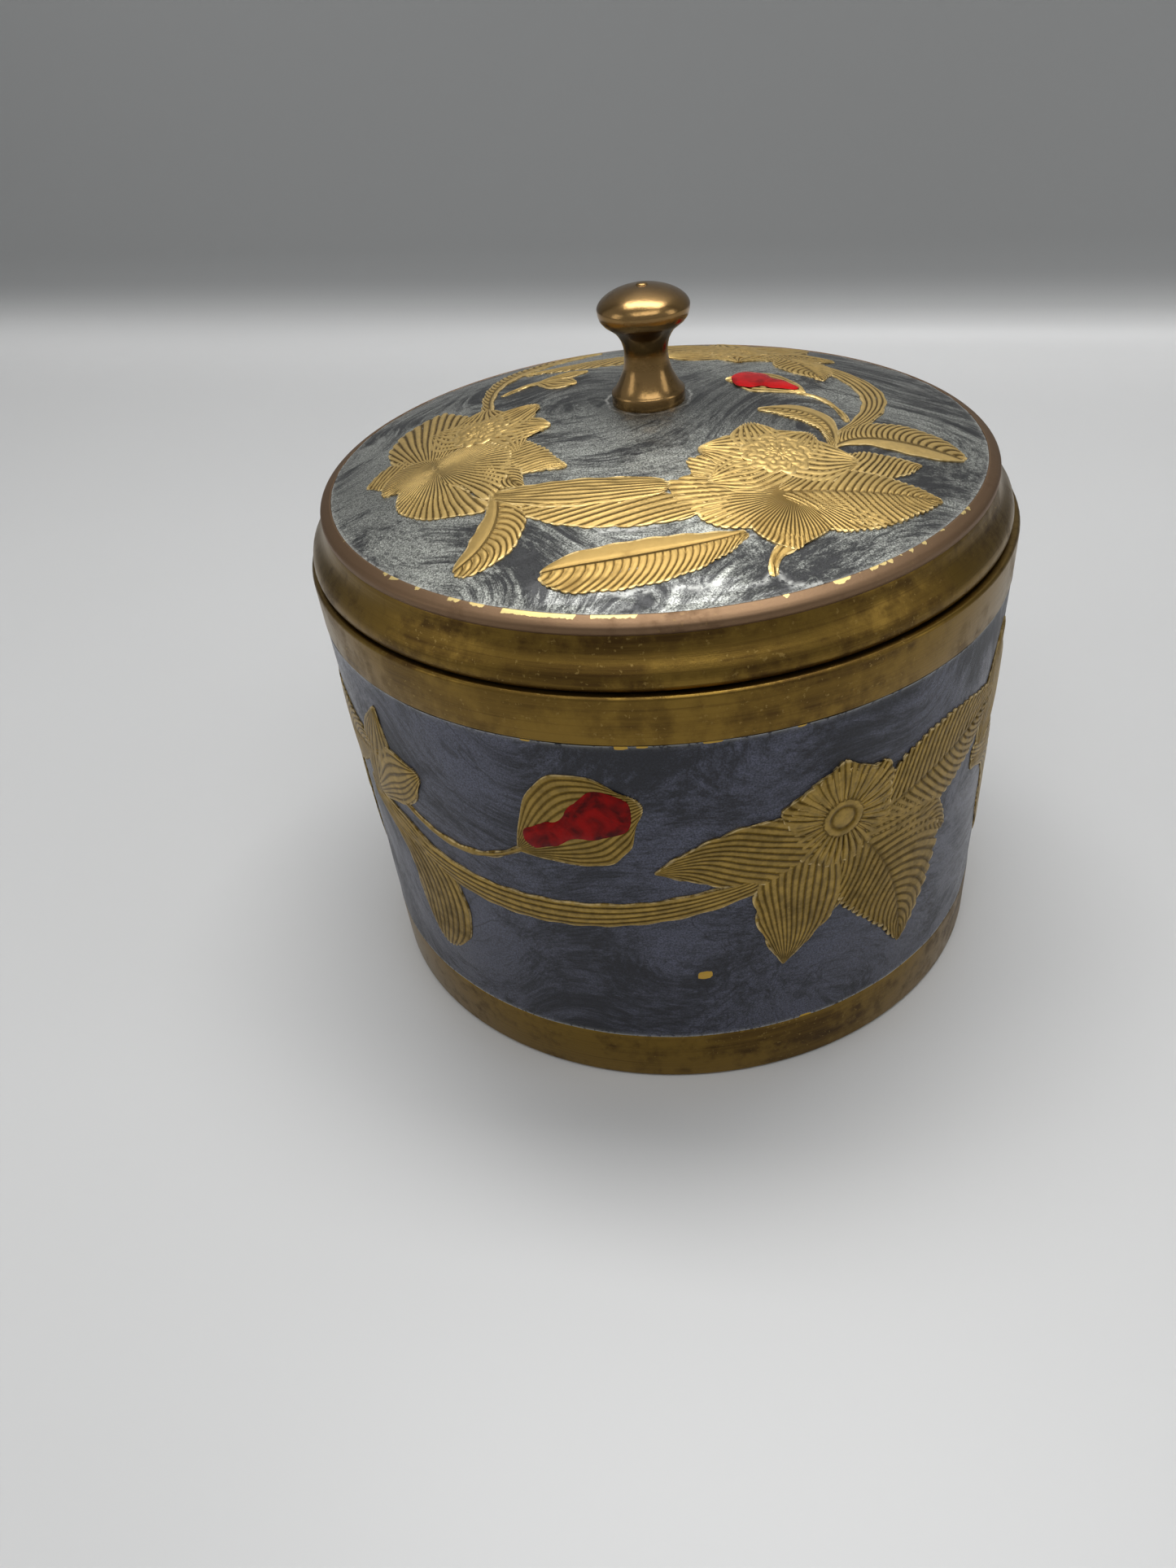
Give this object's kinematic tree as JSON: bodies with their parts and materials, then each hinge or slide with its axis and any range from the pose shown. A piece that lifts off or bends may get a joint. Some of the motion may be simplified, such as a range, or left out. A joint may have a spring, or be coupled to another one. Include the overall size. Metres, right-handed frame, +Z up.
{
  "type": "round lidded cloisonne box",
  "caption": "Round lidded brass box, hollow, with a floral scroll over blue-grey enamel, red enamel buds and a turned knob on the domed lid.",
  "frame": {"origin": "middle of the underside that the box rests on", "axes": "+Z up through the knob, -Y towards the viewer of the picture"},
  "size_m": [0.12, 0.12, 0.119],
  "materials": {
    "brass": "aged, engraved",
    "knob_brass": "aged, smooth",
    "blue_enamel": "gloss",
    "grey_enamel": "gloss",
    "red_enamel": "gloss"
  },
  "bodies": {
    "root": {"box_body": "brass", "body_enamel_low": "blue_enamel", "body_enamel_high": "blue_enamel", "body_bud_enamel_1": "red_enamel", "body_bud_enamel_2": "red_enamel", "body_bud_enamel_3": "red_enamel", "lid": "brass", "lid_enamel": "grey_enamel", "lid_bud_enamel": "red_enamel", "lid_knob": "knob_brass"}
  },
  "joints": []
}
